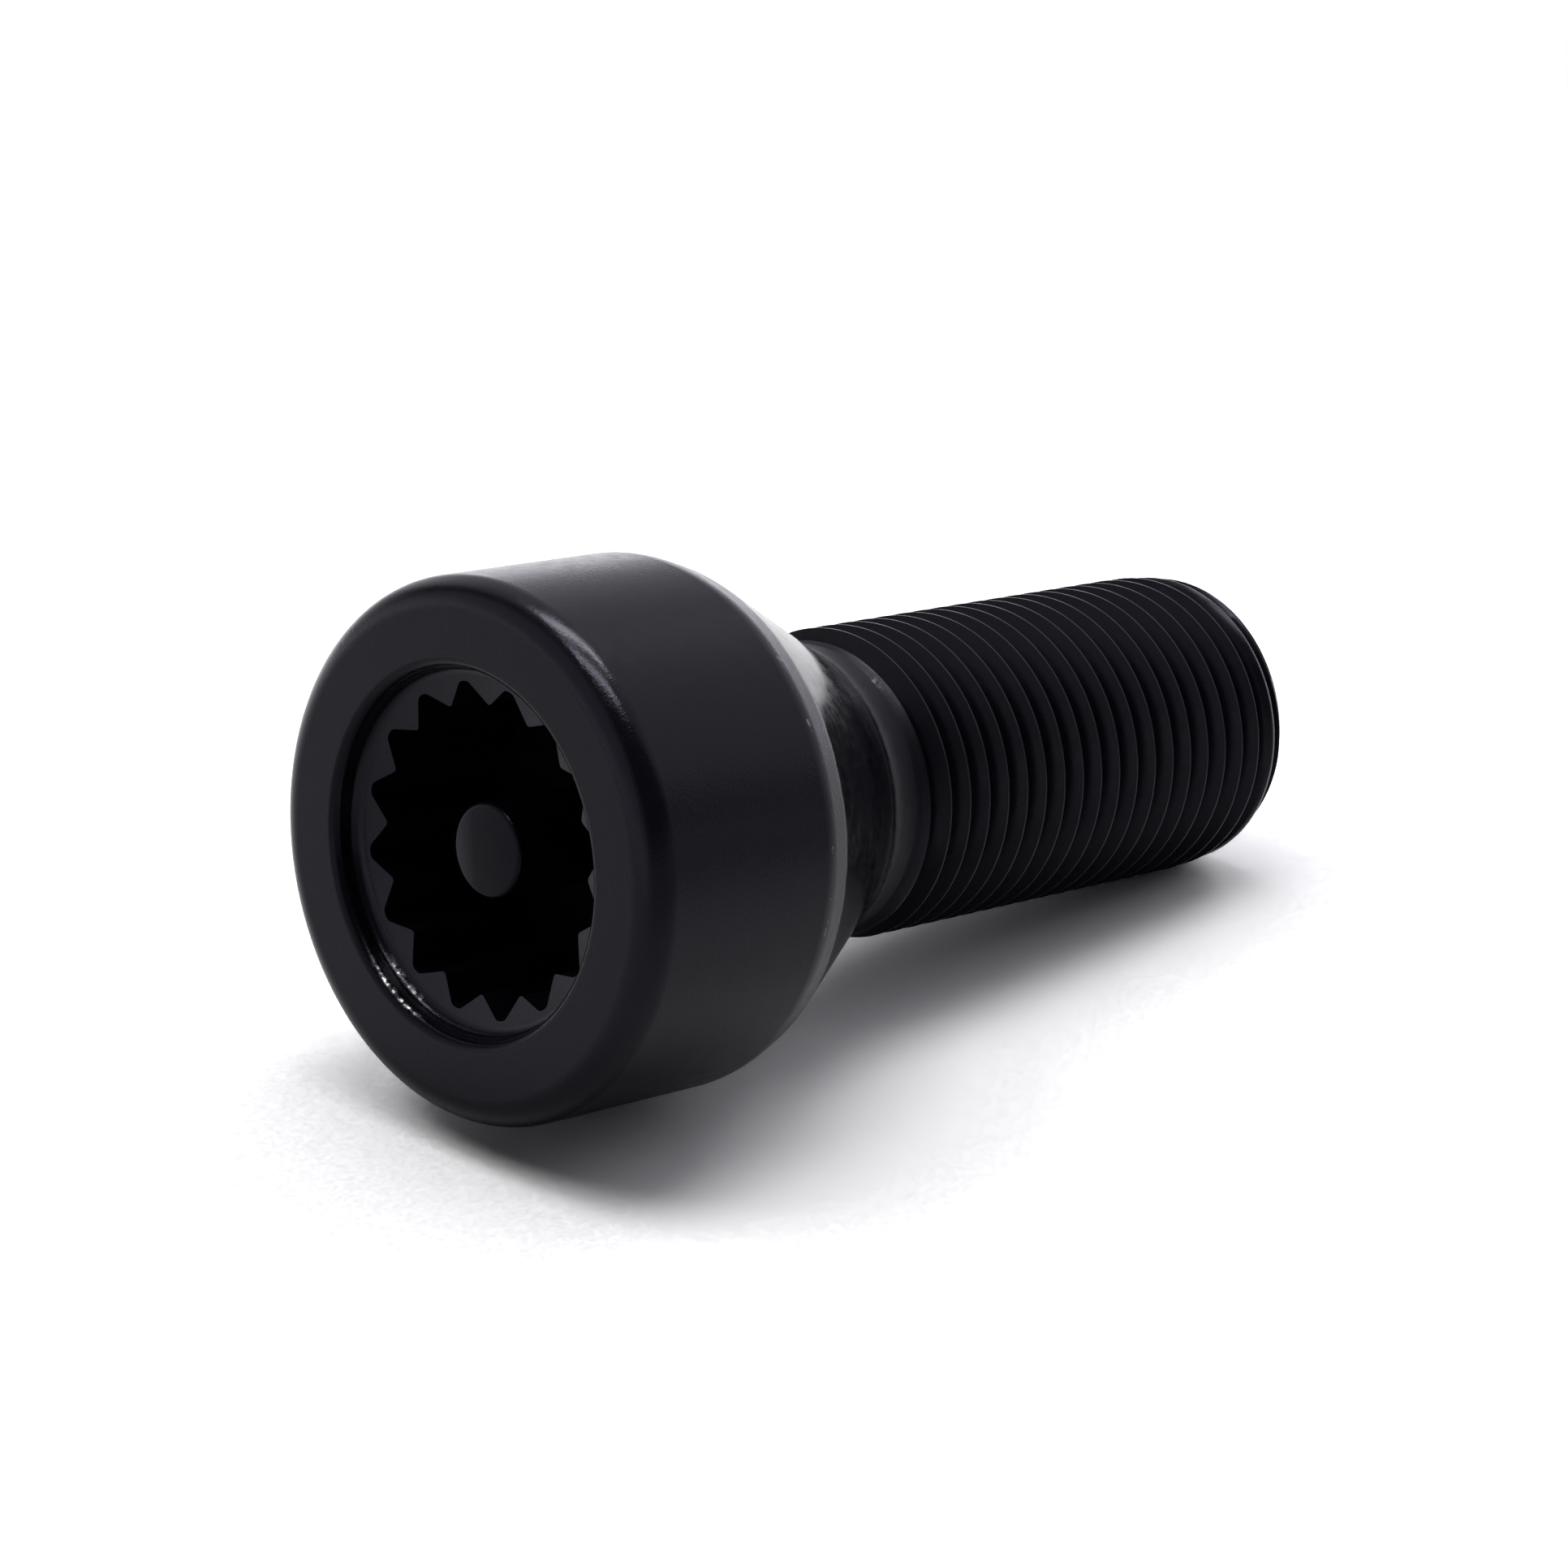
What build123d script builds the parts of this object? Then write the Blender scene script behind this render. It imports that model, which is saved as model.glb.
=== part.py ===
from build123d import *
import math
import os

# Locking wheel bolt, forged in one piece. It stands on its head: the head face lies on z = 0,
# the axis is Z and the thread points up. Sizes are millimetres and degrees.

# Head
head_diameter = 23.2
head_height = 10.3
head_edge_rounding = 1.3

# Seat: a short land behind the head's rear edge, then the cone that centres the wheel
land_length = 1.3
land_half_angle = 19.0
seat_half_angle = 30.0

# Shank, its length counted from the small end of the seat cone to the tip
thread_diameter = 14.0
shank_length = 27.1
neck_diameter = 12.9
neck_length = 1.2
neck_fillet = 4.0
runout_half_angle = 30.0
lead_length = 3.2
lead_drop = 0.3
tip_chamfer = 1.1

# Recess in the head face: a rounded lip, a short wall and a hollow fillet, then a shallow funnel
# that the teeth end on. Its depth is counted at the wall.
recess_diameter = 15.7
recess_depth = 1.15
recess_floor_slope = 12.0
recess_lip_rounding = 0.45
recess_floor_fillet = 0.55

# Splined socket: teeth point inwards, with round-cornered grooves between them
tooth_count = 16
tooth_tip_diameter = 12.4
groove_diameter = 14.3
tooth_tip_angle = 104.0
tooth_tip_rounding = 0.18
groove_rounding = 0.35
socket_depth = 8.4

# Pin left standing in the middle of the socket
pin_diameter = 4.1
pin_setback = 1.45
pin_chamfer = 0.2
pin_root_fillet = 0.5

# Worked out from the sizes above
head_radius = head_diameter / 2
neck_radius = neck_diameter / 2
thread_radius = thread_diameter / 2
pin_radius = pin_diameter / 2
recess_radius = recess_diameter / 2
funnel_point_z = recess_depth + recess_radius * math.tan(math.radians(recess_floor_slope))
land_end_radius = head_radius - land_length * math.tan(math.radians(land_half_angle))
land_end_z = head_height + land_length
seat_end_z = land_end_z + (land_end_radius - neck_radius) / math.tan(math.radians(seat_half_angle))
neck_end_z = seat_end_z + neck_length
thread_start_z = neck_end_z + (thread_radius - neck_radius) / math.tan(math.radians(runout_half_angle))
tip_z = seat_end_z + shank_length
chamfer_start_z = tip_z - tip_chamfer
lead_start_z = chamfer_start_z - lead_length
lead_end_radius = thread_radius - lead_drop
tip_radius = lead_end_radius - tip_chamfer


def corner(sketch, radius, height):
    """The vertex of a profile sketch nearest to a radius and a height, in the sketch's own plane."""
    return sketch.vertices().sort_by_distance((radius, height, 0))[0]


def turned_body():
    """Head, recess, seat, neck and shank as one turned profile."""
    with BuildPart() as body:
        with BuildSketch(Plane.XZ) as profile:
            with BuildLine():
                Polyline(
                    (0, funnel_point_z),
                    (recess_radius, recess_depth),
                    (recess_radius, 0),
                    (head_radius, 0),
                    (head_radius, head_height),
                    (land_end_radius, land_end_z),
                    (neck_radius, seat_end_z),
                    (neck_radius, neck_end_z),
                    (thread_radius, thread_start_z),
                    (thread_radius, lead_start_z),
                )
                TangentArc(
                    (thread_radius, lead_start_z),
                    (lead_end_radius, chamfer_start_z),
                    tangent=(0, 1),
                )
                Polyline(
                    (lead_end_radius, chamfer_start_z),
                    (tip_radius, tip_z),
                    (0, tip_z),
                    (0, funnel_point_z),
                )
            make_face()
            fillet(corner(profile, recess_radius, 0), recess_lip_rounding)
            fillet(corner(profile, recess_radius, recess_depth), recess_floor_fillet)
            fillet(corner(profile, head_radius, 0), head_edge_rounding)
            fillet(corner(profile, neck_radius, seat_end_z), neck_fillet)
        revolve(axis=Axis.Z)
    return body.part


def polar(radius, angle):
    """A point of the socket's plan, angle in degrees from +X."""
    turn = math.radians(angle)
    return (radius * math.cos(turn), radius * math.sin(turn))


def distance_from_axis(vertex):
    """How far a vertex of the plan lies from the bolt's axis."""
    return round(math.hypot(vertex.X, vertex.Y), 3)


def socket_plan():
    """Plan of the splined socket: a tooth tip on +X, and straight flanks out to the grooves."""
    pitch = 360 / tooth_count
    tip_rise = tooth_tip_rounding * (1 / math.sin(math.radians(tooth_tip_angle / 2)) - 1)
    sharp_tip_radius = tooth_tip_diameter / 2 - tip_rise
    groove_radius = groove_diameter / 2
    # The flank leaves the sharp tip at half the tip angle and reaches the groove circle at groove_angle.
    flank = math.radians(tooth_tip_angle / 2)
    groove_angle = math.degrees(flank - math.asin(sharp_tip_radius * math.sin(flank) / groove_radius))
    corners = []
    for tooth in range(tooth_count):
        centre = tooth * pitch
        corners.append(polar(groove_radius, centre - groove_angle))
        corners.append(polar(sharp_tip_radius, centre))
        corners.append(polar(groove_radius, centre + groove_angle))
    with BuildSketch() as plan:
        with BuildLine():
            Polyline(*corners, close=True)
        make_face()
        fillet(plan.vertices().group_by(distance_from_axis)[-1], groove_rounding)
        fillet(plan.vertices().group_by(distance_from_axis)[0], tooth_tip_rounding)
    return plan.sketch


def socket_space():
    """The splined space from the head face to the socket floor."""
    return extrude(socket_plan(), socket_depth, dir=(0, 0, 1))


def centre_pin():
    """Pin with a chamfered face, flared where it leaves the socket floor."""
    with BuildPart() as pin:
        with BuildSketch(Plane.XZ):
            with BuildLine():
                Polyline(
                    (0, pin_setback),
                    (pin_radius - pin_chamfer, pin_setback),
                    (pin_radius, pin_setback + pin_chamfer),
                    (pin_radius, socket_depth - pin_root_fillet),
                )
                TangentArc(
                    (pin_radius, socket_depth - pin_root_fillet),
                    (pin_radius + pin_root_fillet, socket_depth),
                    tangent=(0, 1),
                )
                Polyline(
                    (pin_radius + pin_root_fillet, socket_depth),
                    (0, socket_depth),
                    (0, pin_setback),
                )
            make_face()
        revolve(axis=Axis.Z)
    return pin.part


wheel_bolt = turned_body() - socket_space() + centre_pin()

os.makedirs("parts", exist_ok=True)
export_step(wheel_bolt, "parts/wheel_bolt.step")
print(f"wheel bolt: length {tip_z:.2f} mm, volume {wheel_bolt.volume:.0f} mm3")
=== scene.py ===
import math

import bmesh
import bpy
from mathutils import Matrix, Vector, noise


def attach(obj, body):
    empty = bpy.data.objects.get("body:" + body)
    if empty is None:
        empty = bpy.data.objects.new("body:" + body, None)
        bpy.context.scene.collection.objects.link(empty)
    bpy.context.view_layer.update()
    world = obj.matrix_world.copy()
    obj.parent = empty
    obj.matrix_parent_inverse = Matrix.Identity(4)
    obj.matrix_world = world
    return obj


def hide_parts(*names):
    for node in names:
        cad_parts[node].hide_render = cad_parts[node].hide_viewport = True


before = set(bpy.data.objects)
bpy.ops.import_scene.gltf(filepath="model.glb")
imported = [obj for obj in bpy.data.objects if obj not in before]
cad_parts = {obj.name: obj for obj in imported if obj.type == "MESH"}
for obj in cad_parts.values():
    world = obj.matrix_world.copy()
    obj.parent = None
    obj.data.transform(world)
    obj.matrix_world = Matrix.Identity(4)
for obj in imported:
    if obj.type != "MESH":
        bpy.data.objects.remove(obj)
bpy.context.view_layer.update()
mm = 0.001
boltAxis = Vector((0, 0, 1))
origin = Vector((0, 0, 0))
weldGap = 0.001 * mm     # points closer than this are one
slack = 0.004            # how far off its ring a point may lie, in millimetres


def linearColour(hexCode):
    parts = [int(hexCode[i:i + 2], 16) / 255 for i in (1, 3, 5)]
    parts = [p / 12.92 if p <= 0.04045 else ((p + 0.055) / 1.055) ** 2.4 for p in parts]
    return (*parts, 1)


def addNode(tree, kind, settings=None, links=None):
    node = tree.nodes.new(kind)
    for name, value in (settings or {}).items():
        if isinstance(name, str) and hasattr(node, name):
            setattr(node, name, value)
        else:
            node.inputs[name].default_value = value
    for socket, source in (links or {}).items():
        tree.links.new(source, node.inputs[socket])
    return node


def joinedPoints(mesh, points):
    verts = [mesh.verts.new(point) for point in points]
    edges = [mesh.edges.new(pair) for pair in zip(verts[:-1], verts[1:])]
    return verts + edges


def profilePoints(corners, margin=0.03):
    # the corners, and a point just beyond each rounding so that the stretch between two of them shades flat
    points = []
    for corner, following in zip(corners[:-1], corners[1:]):
        here, there = [Vector((radius, 0, height)) * mm for radius, height, *rest in (corner, following)]
        step = (there - here).normalized()
        points.append(here)
        if corner[2]:
            points.append(here + step * (corner[2] + margin) * mm)
        if following[2]:
            points.append(there - step * (following[2] + margin) * mm)
    return points + [there]


def ringEdges(mesh, radius, height):
    # the edges that run round the axis at one radius and one height
    def onRing(vert):
        return abs(vert.co.xy.length / mm - radius) < slack and abs(vert.co.z / mm - height) < slack
    return [edge for edge in mesh.edges if all(onRing(vert) for vert in edge.verts)]


def turnProfile(mesh, shape):
    # spins a profile of sharp corners round the axis, then rounds the rings that have a rounding
    profile = joinedPoints(mesh, profilePoints(shape["corners"]))
    bmesh.ops.spin(
        mesh, geom=profile, cent=origin, axis=boltAxis, angle=math.tau, steps=shape["steps"], use_merge=True)
    bmesh.ops.remove_doubles(mesh, verts=mesh.verts[:], dist=weldGap)
    for radius, height, offset, segments in shape["corners"]:
        if segments:
            bmesh.ops.bevel(
                mesh, geom=ringEdges(mesh, radius, height), offset=offset * mm, offset_type="OFFSET",
                segments=segments, profile=0.5, affect="EDGES", material=-1, clamp_overlap=False)


def fillRing(mesh, height, reach=0.2):
    # closes the ring between the two open loops that lie near one height
    rims = [edge for edge in mesh.edges if len(edge.link_faces) == 1
            and all(abs(vert.co.z / mm - height) < reach for vert in edge.verts)]
    bmesh.ops.triangle_fill(mesh, edges=rims, use_beauty=True, normal=boltAxis)


# shallow funnel at the bottom of the recess, on which the teeth end
funnel = {"radius": 7.85, "height": 1.15, "slope": 12, "inner": 7.3, "midTooth": 6.7}


def funnelHeight(radius):
    return funnel["height"] + (funnel["radius"] - radius) * math.tan(math.radians(funnel["slope"]))


# turned head, seat and neck; each corner is radius, height, rounding offset and segments
head = {
    "steps": 192,
    "corners": [
        (funnel["inner"], funnelHeight(funnel["inner"]), 0, 0),   # where the teeth begin
        (funnel["radius"], funnel["height"], 0.445, 8),           # hollow fillet round the recess floor
        (funnel["radius"], 0, 0.45, 8),                           # rounded lip of the recess
        (11.6, 0, 1.3, 14),         # rounded front edge
        (11.6, 10.3, 0.35, 6),      # soft rear edge
        (11.152, 11.6, 0.1, 2),     # land that leads into the cone
        (6.45, 19.745, 1.07, 10),   # fillet from the cone into the neck
        (6.45, 20.9, 0, 0),         # where the thread takes over
    ],
    # edge between land and cone; slant is the way along the land, outwards and up
    "ragged": {"corner": (11.152, 11.6), "reach": 0.2, "size": 0.8, "depth": 0.14, "slant": (0.326, -0.945)},
}


def turnHead(mesh):
    turnProfile(mesh, head)
    # forging leaves the edge between land and cone a little ragged: it wanders along the land
    edge = head["ragged"]
    outwards, upwards = edge["slant"]
    for vert in mesh.verts:
        section = Vector((vert.co.xy.length, vert.co.z)) / mm
        if (section - Vector(edge["corner"])).length < edge["reach"]:
            drift = edge["depth"] * (0.5 + 0.5 * noise.noise(vert.co.xyz / (edge["size"] * mm)))
            vert.co.xy *= 1 + drift * outwards / section.x
            vert.co.z += drift * upwards * mm


# pin left standing in the socket; corners as for the head
pin = {
    "steps": 96,
    "corners": [
        (0, 1.45, 0, 0), (0.7, 1.462, 0, 0), (1.3, 1.492, 0, 0),   # face, very slightly domed
        (2.05, 1.56, 0.2, 4), (2.05, 8.4, 0.5, 6), (2.7, 8.4, 0, 0)],
}


def standPin(mesh):
    turnProfile(mesh, pin)


# splined socket; the tooth tips point inwards and one of them lies on +X
socket = {
    "teeth": 16,
    "tipRadius": 6.152,
    "grooveRadius": 7.15,
    "flankAngle": 52,
    "roundings": {"tipRadius": 0.141, "grooveRadius": 0.16},
    "segments": 4,
    "floor": 8.4,
}


def splineCorners():
    flank = math.radians(socket["flankAngle"])
    lean = math.asin(socket["tipRadius"] * math.sin(flank) / socket["grooveRadius"])
    half = flank - lean      # half the angle that a tooth takes on the groove circle
    pitch = math.tau / socket["teeth"]
    places = [
        (socket["grooveRadius"], -half), (socket["tipRadius"], 0),
        (socket["grooveRadius"], half), (socket["grooveRadius"], pitch - half)]
    return [(radius * mm * math.cos(turn), radius * mm * math.sin(turn), 0) for radius, turn in places]


def cutSocket(mesh):
    outline = joinedPoints(mesh, splineCorners())
    bmesh.ops.spin(
        mesh, geom=outline, cent=origin, axis=boltAxis, angle=math.tau, steps=socket["teeth"],
        use_duplicate=True)
    bmesh.ops.remove_doubles(mesh, verts=mesh.verts[:], dist=weldGap)
    walls = bmesh.ops.extrude_edge_only(mesh, edges=mesh.edges[:])["geom"]
    lower = [item for item in walls if isinstance(item, bmesh.types.BMVert)]
    bmesh.ops.translate(mesh, verts=lower, vec=boltAxis * socket["floor"] * mm)
    for place, rounding in socket["roundings"].items():
        upright = [edge for edge in mesh.edges if len(edge.link_faces) == 2
                   and all(abs(vert.co.xy.length / mm - socket[place]) < slack for vert in edge.verts)]
        bmesh.ops.bevel(
            mesh, geom=upright, offset=rounding * mm, offset_type="OFFSET", segments=socket["segments"],
            profile=0.5, affect="EDGES", material=-1, clamp_overlap=False)
    for vert in mesh.verts:
        if vert.co.z < socket["floor"] / 2 * mm:
            vert.co.z = funnelHeight(vert.co.xy.length / mm) * mm


# rolled thread, one pitch of its profile swept up a helix
thread = {
    "pitch": 1.25,
    "crestRadius": 7.0,
    "rootRadius": 6.22,
    "crestFlat": 0.08,
    "rootFlat": 0.22,
    "stepsPerTurn": 128,
    "cuts": 2,
    "crestAzimuth": 28.4,         # a crest passes here at crestHeight
    "crestHeight": 31.23,
    "from": 20.9,
    "to": 46.3,
    "neckRadius": 6.44,
    "runOut": (20.95, 21.9),      # the thread rises out of the neck between these heights
    "lead": (42.545, 45.745),     # and it tapers between these
    "leadRadius": 6.7,
    "tipRadius": 5.6,
    "tip": 46.844,
}


def threadLimits(height):
    # deepest root and highest crest at one height
    start, end = thread["runOut"]
    rise = min(max((height - start) / (end - start), 0), 1)
    low = thread["neckRadius"] + (thread["rootRadius"] - thread["neckRadius"]) * rise
    high = thread["neckRadius"] + (thread["crestRadius"] - thread["neckRadius"]) * rise
    start, end = thread["lead"]
    taper = min(max((height - start) / (end - start), 0), 1)
    high += (thread["leadRadius"] - thread["crestRadius"]) * taper ** 2
    chamfer = max((height - end) / (thread["tip"] - end), 0)
    high += (thread["tipRadius"] - thread["leadRadius"]) * chamfer
    return min(low, high), high


def rollThread(mesh):
    pitch, crest, root = thread["pitch"], thread["crestRadius"], thread["rootRadius"]
    turn = math.radians(thread["crestAzimuth"])
    turnsBelow = math.ceil((thread["crestHeight"] - thread["from"]) / pitch) + 1
    turns = turnsBelow + math.ceil((thread["to"] - thread["crestHeight"]) / pitch) + 1
    first = thread["crestHeight"] - turnsBelow * pitch
    halfCrest, halfRoot = thread["crestFlat"] / 2, thread["rootFlat"] / 2
    shape = [
        (root, -pitch / 2), (root, halfRoot - pitch / 2), (crest, -halfCrest), (crest, halfCrest),
        (root, pitch / 2 - halfRoot), (root, pitch / 2)]
    joinedPoints(mesh, [
        (radius * mm * math.cos(turn), radius * mm * math.sin(turn), (first + rise) * mm)
        for radius, rise in shape])
    bmesh.ops.subdivide_edges(mesh, edges=mesh.edges[:], cuts=thread["cuts"])
    bmesh.ops.spin(
        mesh, geom=mesh.verts[:] + mesh.edges[:], cent=origin, axis=boltAxis, angle=math.tau,
        dvec=boltAxis * (pitch * mm / thread["stepsPerTurn"]), steps=thread["stepsPerTurn"])
    oneTurn = mesh.verts[:] + mesh.edges[:] + mesh.faces[:]
    for count in range(1, turns):
        copy = bmesh.ops.duplicate(mesh, geom=oneTurn)["geom"]
        verts = [item for item in copy if isinstance(item, bmesh.types.BMVert)]
        bmesh.ops.translate(mesh, verts=verts, vec=boltAxis * count * pitch * mm)
    bmesh.ops.remove_doubles(mesh, verts=mesh.verts[:], dist=weldGap * 2)
    # cut level at both ends, then held between root and crest, so that it runs out and tapers
    for height, side in ((thread["from"], "clear_inner"), (thread["to"], "clear_outer")):
        bmesh.ops.bisect_plane(
            mesh, geom=mesh.verts[:] + mesh.edges[:] + mesh.faces[:], dist=weldGap / 10,
            plane_co=boltAxis * height * mm, plane_no=boltAxis, **{side: True})
    for vert in mesh.verts:
        radius = vert.co.xy.length / mm
        low, high = threadLimits(vert.co.z / mm)
        vert.co.xy *= min(max(radius, low), high) / radius
    endRing = [edge for edge in mesh.edges if len(edge.link_faces) == 1
               and edge.verts[0].co.z / mm > thread["to"] - slack]
    chamfer = bmesh.ops.extrude_edge_only(mesh, edges=endRing)["geom"]
    rim = [item for item in chamfer if isinstance(item, bmesh.types.BMVert)]
    for vert in rim:
        vert.co.xy *= thread["tipRadius"] * mm / vert.co.xy.length
        vert.co.z = thread["tip"] * mm
    rimEdges = [item for item in chamfer if isinstance(item, bmesh.types.BMEdge)
                and all(vert in rim for vert in item.verts)]
    bmesh.ops.edgeloop_fill(mesh, edges=rimEdges)


sharpAngle = 32     # edges that turn by more degrees than this stay sharp


def makeBolt(material):
    bolt = bmesh.new()
    for make in (turnHead, standPin, cutSocket, rollThread):
        mesh = bmesh.new()
        make(mesh)
        data = bpy.data.meshes.new("part")
        mesh.to_mesh(data)
        mesh.free()
        bolt.from_mesh(data)
        bpy.data.meshes.remove(data)
        print("bolt part made,", len(bolt.faces), "faces so far")
    for height in (funnelHeight(funnel["midTooth"]), socket["floor"], thread["from"]):
        fillRing(bolt, height)
    bmesh.ops.remove_doubles(bolt, verts=bolt.verts[:], dist=weldGap / 2)
    bmesh.ops.recalc_face_normals(bolt, faces=bolt.faces[:])
    for face in bolt.faces:
        face.smooth = True
    for edge in bolt.edges:
        edge.smooth = len(edge.link_faces) == 2 and edge.calc_face_angle() < math.radians(sharpAngle)
    openEdges = sum(len(edge.link_faces) != 2 for edge in bolt.edges)
    print("open edges", openEdges, "volume", bolt.calc_volume() / mm ** 3)
    data = bpy.data.meshes.new("wheelBolt")
    bolt.to_mesh(data)
    bolt.free()
    data.materials.append(material)
    item = bpy.data.objects.new("wheelBolt", data)
    bpy.context.collection.objects.link(item)
    return item


# black topcoat; sizes in millimetres
coating = {
    "colour": "#07060b",
    "tint": "#ede8ff",
    "steel": "#8b8a8c",
    "ior": (1.28, 1.5),           # face on and at a glancing angle
    "facing": (0.4, 0.9),         # how far the surface turns away where it begins to rise and is full
    "patch": 0.6,                 # size of the duller and glossier patches
    "spread": (0.3, 0.7),         # the stretch of a noise that its patches lie in
    "roughness": (0.16, 0.24),    # over that stretch
    "seat": (11.5, 11.8),         # from these heights on, on the cone, the coat is smoother
    "seatDuller": -0.08,
    "seatRelief": 0.08,           # how much of the grain is left there
    "neck": (19.0, 20.0),         # from these on it is duller
    "neckDuller": 0.4,
    "thread": (20.9, 21.6),       # from these on, on the thread, less so
    "threadDuller": -0.22,
    "tip": (46.6, 46.8),          # and the sheared end face is dull again
    "tipDuller": 0.4,
    # its shine nearly taken away, painted shade that keeps the lamps' reflection off the end face
    "tipShine": 0.04,
    "shine": 0.5,
    "pin": (2.1, 1.75),           # radius of the pin and how far its face reaches down
    "pinShine": (0.26, 0.62),     # shine of that face, and at its rubbed edge on one side, where it is a painted sheen
    "pinEdge": (0.7, 1.75),       # where that edge begins and is full, to this side
    "pinSide": (-0.8, -0.6, 0),
    "grain": (0.11, 0.01),        # size and height of the fine peel of the coat
    "swell": (1.3, 0.006),        # size and height of the forged skin below it
    "rim": (11.6, 10.3),          # radius and height of the edge that chips, and how wide
    "rimWear": 0.12,
    "chips": (0.6, 0.72),         # where in the patches a chip begins and is full
    "crest": (6.97, 7.0),         # radius at which a thread crest begins to be rubbed and is full
    "crestFrom": (20.5, 22),      # and the heights from which it is
    "crestWear": 0.002,
    "scuff": 0.25,                # size of the specks in a scuff
    "specks": (0.45, 0.62),       # where in their noise they begin and are full
    "scuffFull": (0.4, 0.5),      # share of a scuff's width and reach in which it is full
}

# rings that shine less, painted shade: radius and height, where around them this begins and is full, and the
# shine left
paintedShadeRings = [
    {"ring": (6.45, 20.2), "reach": (1.6, 0.9), "shine": 0.38},    # neck, painted shade in its hollow
    {"ring": (8.05, 0.1), "reach": (0.4, 0.2), "shine": 0.3},      # recess lip, painted shade over the reflection on its rounding
]

# scuffs that bare the steel: a ring given by radius and height, its half width, and where on it and how far.
# They lie on the recess lip, in its hollow, on the rear edge and on the thread's run-out.
scuffs = [
    {"ring": (7.92, 0.26), "width": 0.16, "centre": (-7.6, 1.9, 0.3), "reach": 2.1, "bare": 0.85},
    {"ring": (7.72, 1.04), "width": 0.16, "centre": (-7.5, 1.6, 1.0), "reach": 1.6, "bare": 0.85},
    {"ring": (11.5, 10.55), "width": 0.3, "centre": (11.4, -0.45, 10.7), "reach": 0.9, "bare": 0.6},
    {"ring": (6.5, 21.0), "width": 0.2, "centre": (6.36, -1.2, 21.0), "reach": 0.5, "bare": 0.35},
]


def ringPoint(ring):
    radius, height = ring
    return (radius * mm, height * mm, 0)


def coatRelief(tree, place, height):
    # the forged skin and the fine peel of the coat, nearly smoothed out from the cone on
    start, end = coating["seat"]
    strength = addNode(
        tree, "ShaderNodeMapRange",
        {"From Min": start * mm, "From Max": end * mm, "To Min": 1.0, "To Max": coating["seatRelief"]},
        {"Value": height})
    links = {"Strength": strength.outputs[0]}
    for name, detail in (("swell", 2), ("grain", 3)):
        size, depth = coating[name]
        bumps = addNode(
            tree, "ShaderNodeTexNoise", {"Scale": 1 / (size * mm), "Detail": detail}, {"Vector": place})
        links["Height"] = bumps.outputs["Fac"]
        links["Normal"] = addNode(tree, "ShaderNodeBump", {"Distance": depth * mm}, links).outputs[0]
    return links["Normal"]


def coatRoughness(tree, height, patches):
    start, end = coating["spread"]
    glossy, dull = coating["roughness"]
    rough = addNode(
        tree, "ShaderNodeMapRange", {"From Min": start, "From Max": end, "To Min": glossy, "To Max": dull},
        {"Value": patches})
    for name in ("seat", "neck", "thread", "tip"):
        start, end = coating[name]
        duller = addNode(
            tree, "ShaderNodeMapRange",
            {"From Min": start * mm, "From Max": end * mm, "To Max": coating[name + "Duller"]},
            {"Value": height})
        rough = addNode(
            tree, "ShaderNodeMath", {"operation": "ADD"}, {0: rough.outputs[0], 1: duller.outputs[0]})
    return rough.outputs[0]


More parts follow.
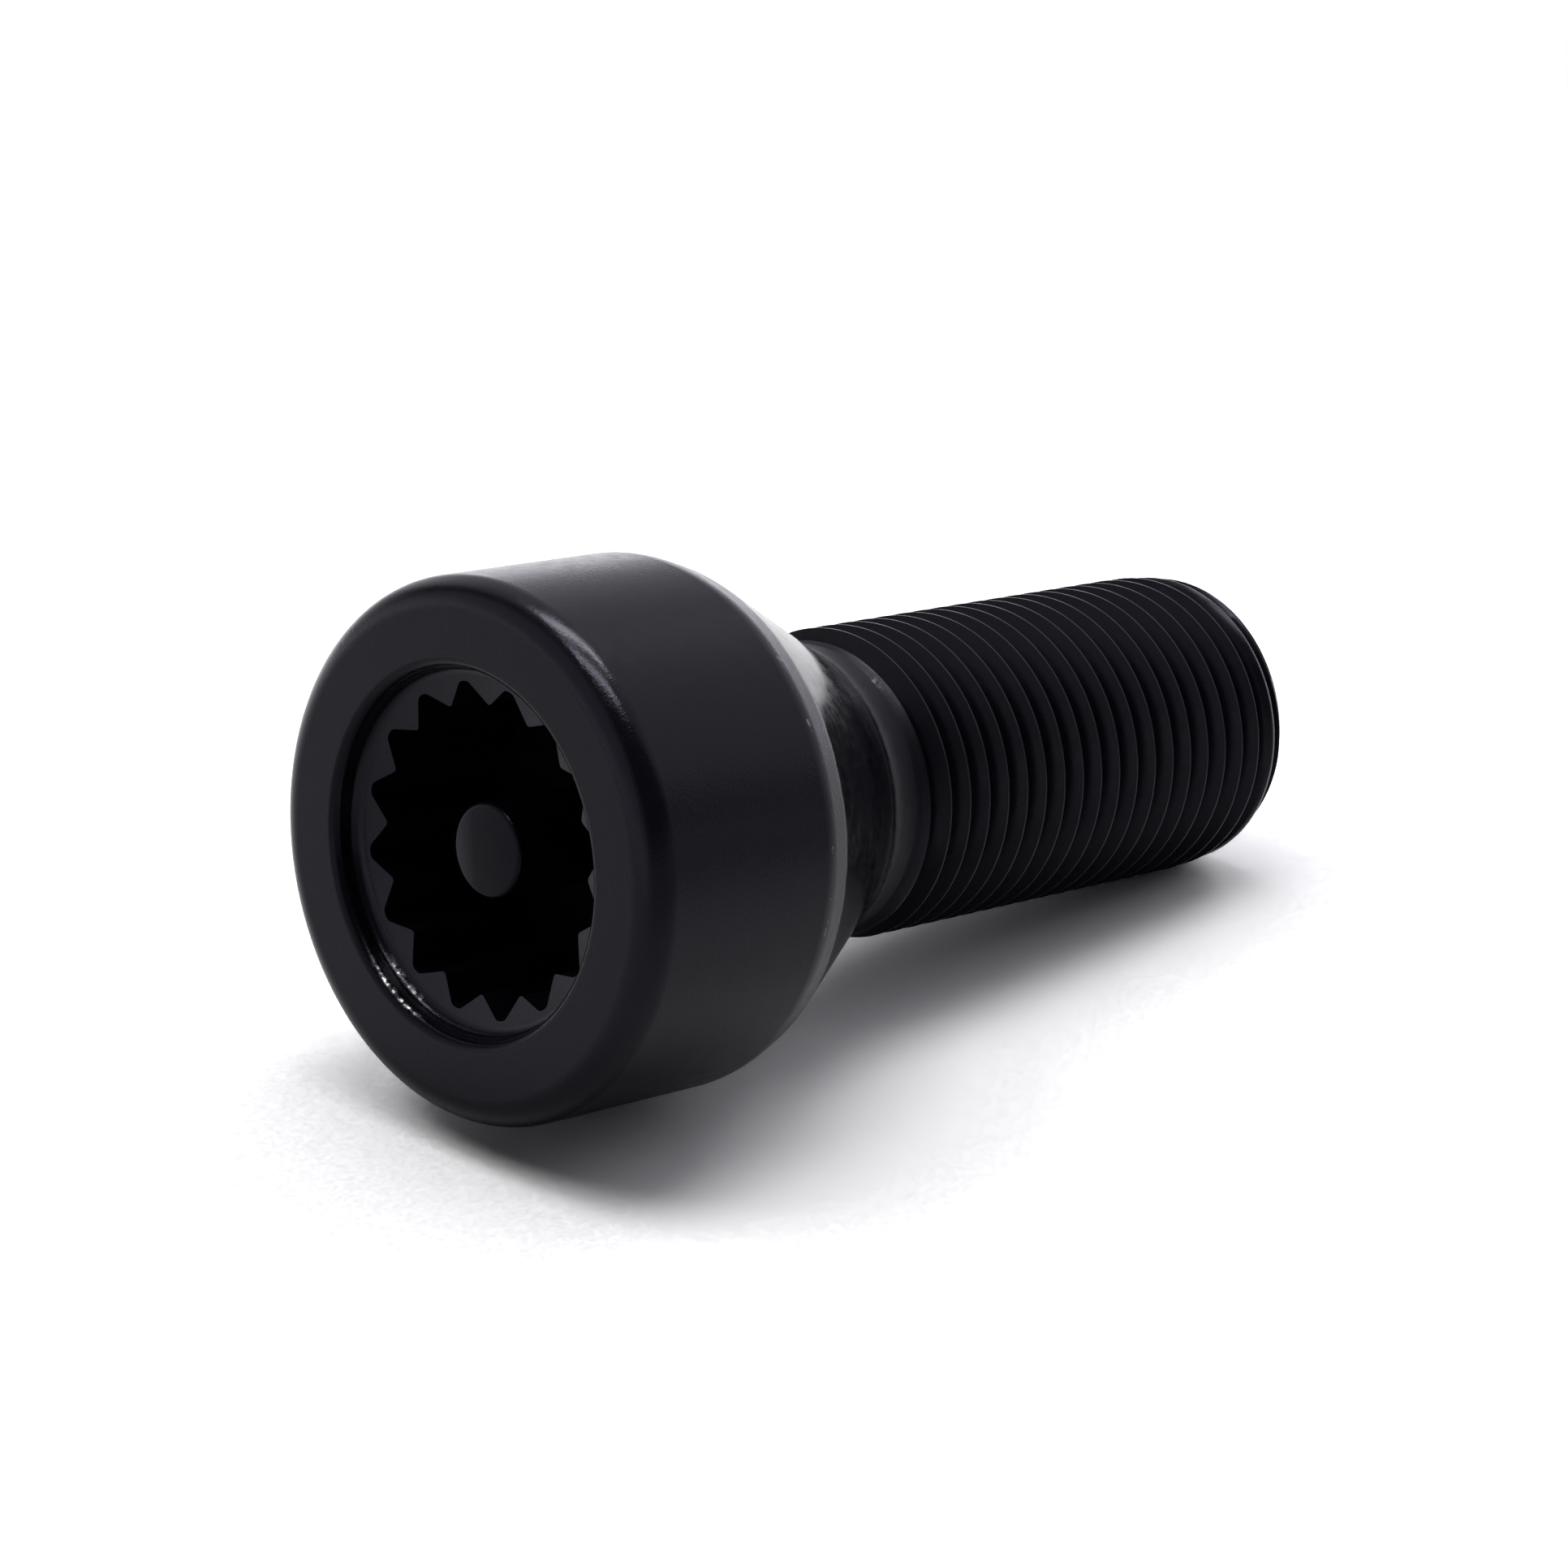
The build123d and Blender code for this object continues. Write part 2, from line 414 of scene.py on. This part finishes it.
def coatWear(tree, place, height, radius, section, patches):
    # how bare the steel is: chips along the rear edge, rubbed thread crests, and the scuffs
    gap = addNode(
        tree, "ShaderNodeVectorMath", {"operation": "DISTANCE", 1: ringPoint(coating["rim"])}, {0: section})
    rim = addNode(
        tree, "ShaderNodeMapRange", {"From Min": coating["rimWear"] * mm, "From Max": 0.0},
        {"Value": gap.outputs["Value"]})
    start, end = coating["chips"]
    chips = addNode(tree, "ShaderNodeMapRange", {"From Min": start, "From Max": end}, {"Value": patches})
    rimWear = addNode(
        tree, "ShaderNodeMath", {"operation": "MULTIPLY"}, {0: rim.outputs[0], 1: chips.outputs[0]})
    start, end = coating["crest"]
    crest = addNode(
        tree, "ShaderNodeMapRange",
        {"From Min": start * mm, "From Max": end * mm, "To Max": coating["crestWear"]}, {"Value": radius})
    start, end = coating["crestFrom"]
    behind = addNode(
        tree, "ShaderNodeMapRange", {"From Min": start * mm, "From Max": end * mm}, {"Value": height})
    crestWear = addNode(
        tree, "ShaderNodeMath", {"operation": "MULTIPLY"}, {0: crest.outputs[0], 1: behind.outputs[0]})
    wear = addNode(
        tree, "ShaderNodeMath", {"operation": "MAXIMUM"}, {0: rimWear.outputs[0], 1: crestWear.outputs[0]})
    specks = addNode(
        tree, "ShaderNodeTexNoise", {"Scale": 1 / (coating["scuff"] * mm), "Detail": 3}, {"Vector": place})
    start, end = coating["specks"]
    specks = addNode(
        tree, "ShaderNodeMapRange", {"From Min": start, "From Max": end}, {"Value": specks.outputs["Fac"]})
    fullWidth, fullReach = coating["scuffFull"]
    for scuff in scuffs:
        width, reach = scuff["width"] * mm, scuff["reach"] * mm
        centre = [size * mm for size in scuff["centre"]]
        aside = addNode(
            tree, "ShaderNodeVectorMath", {"operation": "DISTANCE", 1: ringPoint(scuff["ring"])}, {0: section})
        away = addNode(tree, "ShaderNodeVectorMath", {"operation": "DISTANCE", 1: centre}, {0: place})
        across = addNode(
            tree, "ShaderNodeMapRange", {"From Min": width, "From Max": width * fullWidth},
            {"Value": aside.outputs["Value"]})
        along = addNode(
            tree, "ShaderNodeMapRange",
            {"From Min": reach, "From Max": reach * fullReach, "To Max": scuff["bare"]},
            {"Value": away.outputs["Value"]})
        bare = addNode(
            tree, "ShaderNodeMath", {"operation": "MULTIPLY"}, {0: across.outputs[0], 1: along.outputs[0]})
        bare = addNode(
            tree, "ShaderNodeMath", {"operation": "MULTIPLY"}, {0: bare.outputs[0], 1: specks.outputs[0]})
        wear = addNode(
            tree, "ShaderNodeMath", {"operation": "MAXIMUM"}, {0: wear.outputs[0], 1: bare.outputs[0]})
    return wear.outputs[0]


def coatShine(tree, place, height, radius, section):
    # the pin's face shines most along its rubbed edge, a painted sheen on that side; the tip, the neck and the
    # recess lip shine less, painted shade
    edge = addNode(
        tree, "ShaderNodeVectorMath", {"operation": "DOT_PRODUCT", 1: coating["pinSide"]}, {0: place})
    start, end = coating["pinEdge"]
    low, high = coating["pinShine"]
    pinShine = addNode(
        tree, "ShaderNodeMapRange",
        {"From Min": start * mm, "From Max": end * mm, "To Min": low, "To Max": high},
        {"Value": edge.outputs["Value"]})
    pinRadius, pinDepth = coating["pin"]
    within = addNode(tree, "ShaderNodeMath", {"operation": "LESS_THAN", 1: pinRadius * mm}, {0: radius})
    above = addNode(tree, "ShaderNodeMath", {"operation": "LESS_THAN", 1: pinDepth * mm}, {0: height})
    pinFace = addNode(
        tree, "ShaderNodeMath", {"operation": "MULTIPLY"}, {0: within.outputs[0], 1: above.outputs[0]})
    shine = addNode(
        tree, "ShaderNodeMix", {"data_type": "FLOAT", 2: coating["shine"]},
        {0: pinFace.outputs[0], 3: pinShine.outputs[0]})
    limits = [(height, coating["tip"], coating["tipShine"])]
    for dim in paintedShadeRings:
        gap = addNode(
            tree, "ShaderNodeVectorMath", {"operation": "DISTANCE", 1: ringPoint(dim["ring"])}, {0: section})
        limits.append((gap.outputs["Value"], dim["reach"], dim["shine"]))
    for distance, (start, end), most in limits:
        less = addNode(
            tree, "ShaderNodeMapRange",
            {"From Min": start * mm, "From Max": end * mm, "To Min": 1.0, "To Max": most}, {"Value": distance})
        shine = addNode(
            tree, "ShaderNodeMath", {"operation": "MINIMUM"}, {0: shine.outputs[0], 1: less.outputs[0]})
    return shine.outputs[0]


def blackCoating():
    # baked black coat on forged steel: near black face on, bright at a glancing angle, a fine grain in the
    # highlights, and steel showing through on the rear rim, the thread crests and a few scuffs
    material = bpy.data.materials.new("blackZincFlakeCoat")
    material.use_nodes = True
    tree = material.node_tree
    shader = tree.nodes["Principled BSDF"]
    place = addNode(tree, "ShaderNodeTexCoord").outputs["Object"]
    height = addNode(tree, "ShaderNodeSeparateXYZ", None, {0: place}).outputs["Z"]
    flat = addNode(tree, "ShaderNodeVectorMath", {"operation": "MULTIPLY", 1: (1, 1, 0)}, {0: place})
    radius = addNode(
        tree, "ShaderNodeVectorMath", {"operation": "LENGTH"}, {0: flat.outputs[0]}).outputs["Value"]
    section = addNode(tree, "ShaderNodeCombineXYZ", None, {0: radius, 1: height}).outputs[0]
    patches = addNode(
        tree, "ShaderNodeTexNoise", {"Scale": 1 / (coating["patch"] * mm), "Detail": 3},
        {"Vector": place}).outputs["Fac"]
    wear = coatWear(tree, place, height, radius, section, patches)
    colour = addNode(
        tree, "ShaderNodeMix",
        {"data_type": "RGBA", 6: linearColour(coating["colour"]), 7: linearColour(coating["steel"])},
        {0: wear})
    facing = addNode(tree, "ShaderNodeLayerWeight", {"Blend": 0.5})
    start, end = coating["facing"]
    faceOn, glancing = coating["ior"]
    ior = addNode(
        tree, "ShaderNodeMapRange", {"From Min": start, "From Max": end, "To Min": faceOn, "To Max": glancing},
        {"Value": facing.outputs["Facing"]})
    finish = {
        "Base Color": colour.outputs[2],
        "Metallic": wear,
        "Roughness": coatRoughness(tree, height, patches),
        "IOR": ior.outputs[0],
        "Specular IOR Level": coatShine(tree, place, height, radius, section),
        "Normal": coatRelief(tree, place, height),
    }
    for name, source in finish.items():
        tree.links.new(source, shader.inputs[name])
    shader.inputs["Specular Tint"].default_value = linearColour(coating["tint"])
    return material


# the bolt lies on its rim and on its thread; the up side of that floor faces this azimuth
floor = {
    "upAzimuth": -39.9,
    "rim": (11.6, 10.3),
    "threadEnd": (6.95, 42.5),
    "radius": 600,
    "solidRadius": 110,           # it fades into the backdrop between these
    "clearRadius": 200,
    "colour": "#e9e9e9",
    "whiten": 1.6,                # how much paler the camera sees it, so that it meets the white backdrop
    "gloss": (1.0, 0.6),          # and the reflections, near the bolt and away to the front right, where painted shade darkens them
    "glossReach": (15, 150),
    "glossSlant": 0.8,            # how far to the front that way leads, for each step to the right
    "paintedReflectionLightBehind": (1.0, 1.55),     # and near the bolt and behind it, where painted light brightens them
    "paintedReflectionLightBehindReach": (20, 110),
    "paintedReflectionShadowUnder": (0.5, 1.0),     # and below the head, where a painted shadow darkens them, and clear of it
    "paintedReflectionShadowUnderReach": (12, 24),
    "grain": (0.25, 0.1),         # size and depth of the speckle of the paper
    "grainSpread": (0.3, 0.7),    # the stretch of its noise that it lies in
}


def floorUp():
    rimRadius, rimHeight = floor["rim"]
    endRadius, endHeight = floor["threadEnd"]
    tilt = math.atan2(rimRadius - endRadius, endHeight - rimHeight)
    side = math.radians(floor["upAzimuth"])
    level = Vector((math.cos(side), math.sin(side), 0))
    return level, level * math.cos(tilt) - boltAxis * math.sin(tilt)


# where the photograph was taken from; places in millimetres
camera = {"spot": (137.926, 68.931, -132.835), "aim": (4.4, 1.775, 14.679), "lens": 112.81, "sensor": 36}


def placeCamera(up):
    spot, aim = Vector(camera["spot"]) * mm, Vector(camera["aim"]) * mm
    look = (aim - spot).normalized()
    right = look.cross(up).normalized()
    turn = Matrix((right, right.cross(look), -look)).transposed().to_4x4()
    data = bpy.data.cameras.new("camera")
    data.lens, data.sensor_width = camera["lens"], camera["sensor"]
    data.clip_start, data.clip_end = 0.01, 10
    item = bpy.data.objects.new("camera", data)
    item.matrix_world = Matrix.Translation(spot) @ turn
    bpy.context.collection.objects.link(item)
    bpy.context.scene.camera = item
    return right, up.cross(right)


def paperFloor(right, back):
    # matt white paper, seen from its upper side alone, that fades into the white backdrop
    material = bpy.data.materials.new("whitePaper")
    material.use_nodes = True
    tree = material.node_tree
    tree.nodes.clear()
    rays = addNode(tree, "ShaderNodeLightPath")
    place = addNode(tree, "ShaderNodeTexCoord").outputs["Object"]
    frontRight = right - back * floor["glossSlant"]
    aside = addNode(tree, "ShaderNodeVectorMath", {"operation": "DOT_PRODUCT", 1: frontRight}, {0: place})
    behind = addNode(tree, "ShaderNodeVectorMath", {"operation": "DOT_PRODUCT", 1: back}, {0: place})
    reach = addNode(tree, "ShaderNodeVectorMath", {"operation": "LENGTH"}, {0: place})
    # what glossy rays see of the paper is painted: shade away to the front right, a shadow below the head and
    # light behind
    shares = []
    for name, distance in (("gloss", aside), ("paintedReflectionLightBehind", behind), ("paintedReflectionShadowUnder", reach)):
        start, end = floor[name + "Reach"]
        near, away = floor[name]
        shares.append(addNode(
            tree, "ShaderNodeMapRange",
            {"interpolation_type": "SMOOTHSTEP", "From Min": start * mm, "From Max": end * mm,
             "To Min": near, "To Max": away},
            {"Value": distance.outputs["Value"]}))
    paintedReflectionShading = shares[0]
    for share in shares[1:]:
        paintedReflectionShading = addNode(
            tree, "ShaderNodeMath", {"operation": "MULTIPLY"}, {0: paintedReflectionShading.outputs[0], 1: share.outputs[0]})
    unseen = addNode(
        tree, "ShaderNodeMix", {"data_type": "FLOAT", 2: 1.0},
        {0: rays.outputs["Is Glossy Ray"], 3: paintedReflectionShading.outputs[0]})
    size, depth = floor["grain"]
    speckle = addNode(tree, "ShaderNodeTexNoise", {"Scale": 1 / (size * mm), "Detail": 2}, {"Vector": place})
    start, end = floor["grainSpread"]
    speckle = addNode(
        tree, "ShaderNodeMapRange",
        {"From Min": start, "From Max": end, "To Min": 1 - depth, "To Max": 1 + depth},
        {"Value": speckle.outputs["Fac"]})
    paleness = addNode(
        tree, "ShaderNodeMix", {"data_type": "FLOAT", 3: floor["whiten"]},
        {0: rays.outputs["Is Camera Ray"], 2: unseen.outputs[0]})
    paleness = addNode(
        tree, "ShaderNodeMath", {"operation": "MULTIPLY"}, {0: paleness.outputs[0], 1: speckle.outputs[0]})
    colour = addNode(
        tree, "ShaderNodeVectorMath", {"operation": "SCALE", 0: linearColour(floor["colour"])[:3]},
        {"Scale": paleness.outputs[0]})
    matt = addNode(tree, "ShaderNodeBsdfDiffuse", None, {"Color": colour.outputs[0]})
    fade = addNode(
        tree, "ShaderNodeMapRange",
        {"interpolation_type": "SMOOTHSTEP", "From Min": floor["solidRadius"] * mm,
         "From Max": floor["clearRadius"] * mm},
        {"Value": reach.outputs["Value"]})
    hidden = addNode(
        tree, "ShaderNodeMath", {"operation": "MULTIPLY"},
        {0: fade.outputs[0], 1: rays.outputs["Is Camera Ray"]})
    # clear from below, and what is looked at through the floor doesn't reflect it either
    under = addNode(tree, "ShaderNodeNewGeometry")
    for source in (under.outputs["Backfacing"], rays.outputs["Transparent Depth"]):
        hidden = addNode(tree, "ShaderNodeMath", {"operation": "MAXIMUM"}, {0: hidden.outputs[0], 1: source})
    clear = addNode(tree, "ShaderNodeBsdfTransparent")
    both = addNode(
        tree, "ShaderNodeMixShader", None, {0: hidden.outputs[0], 1: matt.outputs[0], 2: clear.outputs[0]})
    addNode(tree, "ShaderNodeOutputMaterial", None, {"Surface": both.outputs[0]})
    return material


def layFloor(level, up, right, back):
    rimRadius, rimHeight = floor["rim"]
    touch = (boltAxis * rimHeight - level * rimRadius) * mm
    mesh = bmesh.new()
    turn = up.to_track_quat("Z", "Y").to_matrix().to_4x4()
    bmesh.ops.create_circle(
        mesh, cap_ends=True, segments=64, radius=floor["radius"] * mm, matrix=Matrix.Translation(touch) @ turn)
    data = bpy.data.meshes.new("floor")
    mesh.to_mesh(data)
    mesh.free()
    data.materials.append(paperFloor(right, back))
    item = bpy.data.objects.new("floor", data)
    bpy.context.collection.objects.link(item)


# two tube lamps that show in the gloss, and soft panels that light matt surfaces, all overhead;
# their ends are given by how far they lie to the right and to the back
lamps = {
    "frontTube": {"ends": ((-170, -95), (230, -95)), "width": 110, "power": 1.9, "shine": True},
    "backTube": {"ends": ((-160, 130), (340, 300)), "width": 110, "power": 3.3, "shine": True},
    "topPanel": {"ends": ((-200, 0), (200, 100)), "width": 300, "power": 1.34, "shine": False},
    "leftPanel": {"ends": ((-430, -120), (-390, 330)), "width": 260, "power": 1.6, "shine": False},
    "rightPanel": {"ends": ((300, 250), (600, 700)), "width": 260, "power": 1.3, "shine": False},
}
lampHeight = 600


def hangLamps(right, back, up):
    for name, lamp in lamps.items():
        start, end = [
            (right * sideways + back * backwards + up * lampHeight) * mm
            for sideways, backwards in lamp["ends"]]
        along, middle = end - start, (start + end) / 2
        data = bpy.data.lights.new(name, "AREA")
        data.shape = "RECTANGLE"
        data.size, data.size_y = along.length, lamp["width"] * mm
        data.energy = lamp["power"]
        item = bpy.data.objects.new(name, data)
        along.normalize()
        facing = (middle - along * middle.dot(along)).normalized()
        turn = Matrix((along, facing.cross(along), facing)).transposed().to_4x4()
        item.matrix_world = Matrix.Translation(middle) @ turn
        item.visible_camera = False
        item.visible_glossy, item.visible_diffuse = lamp["shine"], not lamp["shine"]
        bpy.context.collection.objects.link(item)


# white walls behind and to the left, dim on the camera's side; brightness as a share of white.
# Each wall is a direction to the right, to the back and up, and where along it the wall begins and is full.
# The backdrop is a lit strip low at the back, and the gap a darker one above it.
tent = {
    "colour": "#f8f7ff",
    "dim": 0.14,
    "walls": {
        "backWall": {"towards": (0.41, 0.91, 0.75), "from": 0.45, "to": 0.8, "white": 0.9},
        "leftWall": {"towards": (-0.91, -0.42, 0.1), "from": 0.45, "to": 0.85, "white": 0.85},
        "backdrop": {"towards": (0.36, 0.93, -0.6), "from": 0.78, "to": 0.96, "white": 1.15},
        "gap": {"towards": (0.1, 0.92, 0.38), "from": 0.86, "to": 0.98, "white": -0.35},
        "horizon": {"towards": (0, 0, -1), "from": -0.36, "to": 0.0, "white": 0.5},
    },
}


def pitchTent(right, back, up):
    world = bpy.data.worlds.new("tent")
    world.use_nodes = True
    bpy.context.scene.world = world
    tree = world.node_tree
    tree.nodes.clear()
    place = addNode(tree, "ShaderNodeTexCoord").outputs["Generated"]
    glow = {}
    for name, wall in tent["walls"].items():
        sideways, backwards, upwards = wall["towards"]
        direction = right * sideways + back * backwards + up * upwards
        along = addNode(tree, "ShaderNodeVectorMath", {"operation": "DOT_PRODUCT", 1: direction}, {0: place})
        glow[name] = addNode(
            tree, "ShaderNodeMapRange",
            {"interpolation_type": "SMOOTHSTEP", "From Min": wall["from"], "From Max": wall["to"],
             "To Max": wall["white"]},
            {"Value": along.outputs["Value"]}).outputs[0]
    rays = addNode(tree, "ShaderNodeLightPath")
    # the left wall, the dim side and the horizon show in the gloss and don't light matt surfaces
    gloss = addNode(
        tree, "ShaderNodeMath", {"operation": "SUBTRACT", 0: 1.0}, {1: rays.outputs["Is Diffuse Ray"]})
    lit = addNode(tree, "ShaderNodeMath", {"operation": "MAXIMUM", 1: tent["dim"]}, {0: glow["leftWall"]})
    for operation, source in (
            ("ADD", glow["horizon"]), ("MULTIPLY", gloss.outputs[0]), ("MAXIMUM", glow["backWall"]),
            ("ADD", glow["backdrop"]), ("ADD", glow["gap"])):
        lit = addNode(tree, "ShaderNodeMath", {"operation": operation}, {0: lit.outputs[0], 1: source})
    strength = addNode(
        tree, "ShaderNodeMix", {"data_type": "FLOAT", 3: 1.0},
        {0: rays.outputs["Is Camera Ray"], 2: lit.outputs[0]})
    cast = addNode(
        tree, "ShaderNodeMix", {"data_type": "RGBA", 6: linearColour(tent["colour"]), 7: (1, 1, 1, 1)},
        {0: rays.outputs["Is Camera Ray"]})
    light = addNode(
        tree, "ShaderNodeBackground", None, {"Color": cast.outputs[2], "Strength": strength.outputs[0]})
    addNode(tree, "ShaderNodeOutputWorld", None, {"Surface": light.outputs[0]})


level, up = floorUp()
right, back = placeCamera(up)
layFloor(level, up, right, back)
hangLamps(right, back, up)
pitchTent(right, back, up)
print("stage set")

wheelBolt = makeBolt(blackCoating())
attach(wheelBolt, "root")
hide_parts("wheel_bolt")
print("bolt made")

bpy.context.scene.view_settings.view_transform = "Standard"
